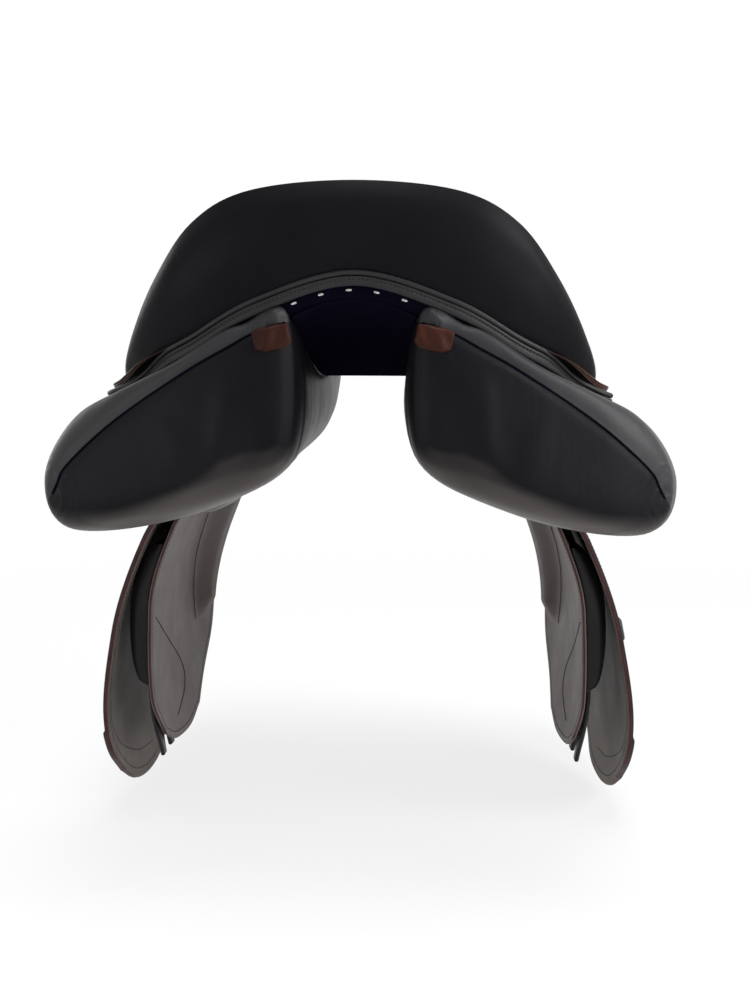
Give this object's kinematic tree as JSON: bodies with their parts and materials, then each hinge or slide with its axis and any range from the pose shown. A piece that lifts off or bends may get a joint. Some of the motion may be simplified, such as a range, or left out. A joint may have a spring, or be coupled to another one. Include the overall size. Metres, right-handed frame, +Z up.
{
  "type": "close contact saddle",
  "caption": "Black leather close contact saddle with a deep seat, skirts, flaps, sweat flaps, stuffed panels, girth straps and stirrup bars.",
  "frame": {"origin": "underside of the gullet lining on the middle plane, below the deepest point of the seat, where the saddle stands over the horse's spine", "axes": "+Z up, +Y to the front of the saddle, +X to the right seen from behind"},
  "size_m": [0.4842, 0.5312, 0.535],
  "materials": {
    "seat_leather": "smooth, slightly glossy",
    "skirt_leather": "smooth, slightly glossy",
    "flap_leather": "smooth, satin",
    "sweat_leather": "matt, grey-brown",
    "panel_leather": "soft, satin",
    "block_leather": "satin",
    "billet_leather": "satin",
    "lining_leather": "matt",
    "edge_grey": "worn grey edge",
    "tab_leather": "red-brown, satin",
    "foam": "open-cell seat foam",
    "web": "woven tape",
    "laminated_wood": "laminated, sealed",
    "steel": "plain steel"
  },
  "bodies": {
    "saddle": {"seat_cover": "seat_leather", "seat_foam": "foam", "seat_web": "web", "tree_frame": "laminated_wood", "cantle_welt": "edge_grey", "rear_strip": "edge_grey", "gullet_lining": "lining_leather", "gullet_plate": "steel", "spring_rail_l": "steel", "spring_rail_r": "steel", "panel_l": "panel_leather", "panel_r": "panel_leather", "sweat_flap_l": "sweat_leather", "sweat_flap_r": "sweat_leather", "knee_block_l": "block_leather", "knee_block_r": "block_leather", "thigh_block_l": "block_leather", "thigh_block_r": "block_leather", "panel_leg_l": "panel_leather", "panel_leg_r": "panel_leather", "billet_web_front_l": "web", "billet_web_front_r": "web", "billet_web_rear_l": "web", "billet_web_rear_r": "web", "stirrup_bar_l": "steel", "stirrup_bar_r": "steel", "point_pocket_l": "block_leather", "point_pocket_r": "block_leather", "skirt_tail_l": "skirt_leather", "skirt_tail_r": "skirt_leather", "rear_tab_l": "tab_leather", "rear_tab_r": "tab_leather", "dee_chape_l": "skirt_leather", "dee_chape_r": "skirt_leather"},
    "flap_l": {"flap_l": "flap_leather", "flap_keeper_l": "flap_leather"},
    "flap_r": {"flap_r": "flap_leather", "flap_keeper_r": "flap_leather"},
    "skirt_l": {"skirt_l": "skirt_leather"},
    "skirt_r": {"skirt_r": "skirt_leather"},
    "bar_catch_l": {"bar_catch_l": "steel"},
    "bar_catch_r": {"bar_catch_r": "steel"},
    "billet_front_l": {"billet_front_l": "billet_leather"},
    "billet_front_r": {"billet_front_r": "billet_leather"},
    "billet_middle_l": {"billet_middle_l": "billet_leather"},
    "billet_middle_r": {"billet_middle_r": "billet_leather"},
    "billet_rear_l": {"billet_rear_l": "billet_leather"},
    "billet_rear_r": {"billet_rear_r": "billet_leather"},
    "front_dee_l": {"front_dee_l": "steel"},
    "front_dee_r": {"front_dee_r": "steel"}
  },
  "joints": [
    {"name": "flap_lift_l", "type": "hinge", "parent": "saddle", "child": "flap_l", "pos_m": [-0.098, 0, 0], "axis": [0.107, 0.9731, 0.204], "range_deg": [0, 70]},
    {"name": "skirt_lift_l", "type": "hinge", "parent": "flap_l", "child": "skirt_l", "pos_m": [-0.098, 0, 0], "axis": [0.107, 0.9731, 0.204], "range_deg": [0, 50]},
    {"name": "bar_catch_tip_l", "type": "hinge", "parent": "saddle", "child": "bar_catch_l", "pos_m": [-0.08844, 0.0596, -0.00048], "axis": [-0.994, 0.1093, 0], "range_deg": [0, 60]},
    {"name": "billet_middle_swing_l", "type": "hinge", "parent": "saddle", "child": "billet_middle_l", "pos_m": [-0.1, 0.048, -0.051], "axis": [1, 0, 0], "range_deg": [-4, 4]},
    {"name": "billet_front_swing_l", "type": "hinge", "parent": "saddle", "child": "billet_front_l", "pos_m": [-0.1, 0.084, -0.051], "axis": [1, 0, 0], "range_deg": [-4, 4]},
    {"name": "billet_rear_swing_l", "type": "hinge", "parent": "saddle", "child": "billet_rear_l", "pos_m": [-0.1, 0.014, -0.051], "axis": [1, 0, 0], "range_deg": [-4, 4]},
    {"name": "front_dee_swing_l", "type": "hinge", "parent": "saddle", "child": "front_dee_l", "pos_m": [-0.0665, 0.2205, 0.036], "axis": [0, 1, 0], "range_deg": [0, 75]},
    {"name": "flap_lift_r", "type": "hinge", "parent": "saddle", "child": "flap_r", "pos_m": [0.098, 0, 0], "axis": [0.107, -0.9731, -0.204], "range_deg": [0, 70]},
    {"name": "skirt_lift_r", "type": "hinge", "parent": "flap_r", "child": "skirt_r", "pos_m": [0.098, 0, 0], "axis": [0.107, -0.9731, -0.204], "range_deg": [0, 50]},
    {"name": "bar_catch_tip_r", "type": "hinge", "parent": "saddle", "child": "bar_catch_r", "pos_m": [0.08844, 0.0596, -0.00048], "axis": [-0.994, -0.1093, 0], "range_deg": [0, 60]},
    {"name": "billet_middle_swing_r", "type": "hinge", "parent": "saddle", "child": "billet_middle_r", "pos_m": [0.1, 0.048, -0.051], "axis": [1, 0, 0], "range_deg": [-4, 4]},
    {"name": "billet_front_swing_r", "type": "hinge", "parent": "saddle", "child": "billet_front_r", "pos_m": [0.1, 0.084, -0.051], "axis": [1, 0, 0], "range_deg": [-4, 4]},
    {"name": "billet_rear_swing_r", "type": "hinge", "parent": "saddle", "child": "billet_rear_r", "pos_m": [0.1, 0.014, -0.051], "axis": [1, 0, 0], "range_deg": [-4, 4]},
    {"name": "front_dee_swing_r", "type": "hinge", "parent": "saddle", "child": "front_dee_r", "pos_m": [0.0665, 0.2205, 0.036], "axis": [0, -1, 0], "range_deg": [0, 75]}
  ],
  "couplings": [
    {"joint": "billet_front_swing_l", "follows": "billet_middle_swing_l", "ratio": 1},
    {"joint": "billet_rear_swing_l", "follows": "billet_middle_swing_l", "ratio": 1},
    {"joint": "billet_front_swing_r", "follows": "billet_middle_swing_r", "ratio": 1},
    {"joint": "billet_rear_swing_r", "follows": "billet_middle_swing_r", "ratio": 1}
  ]
}
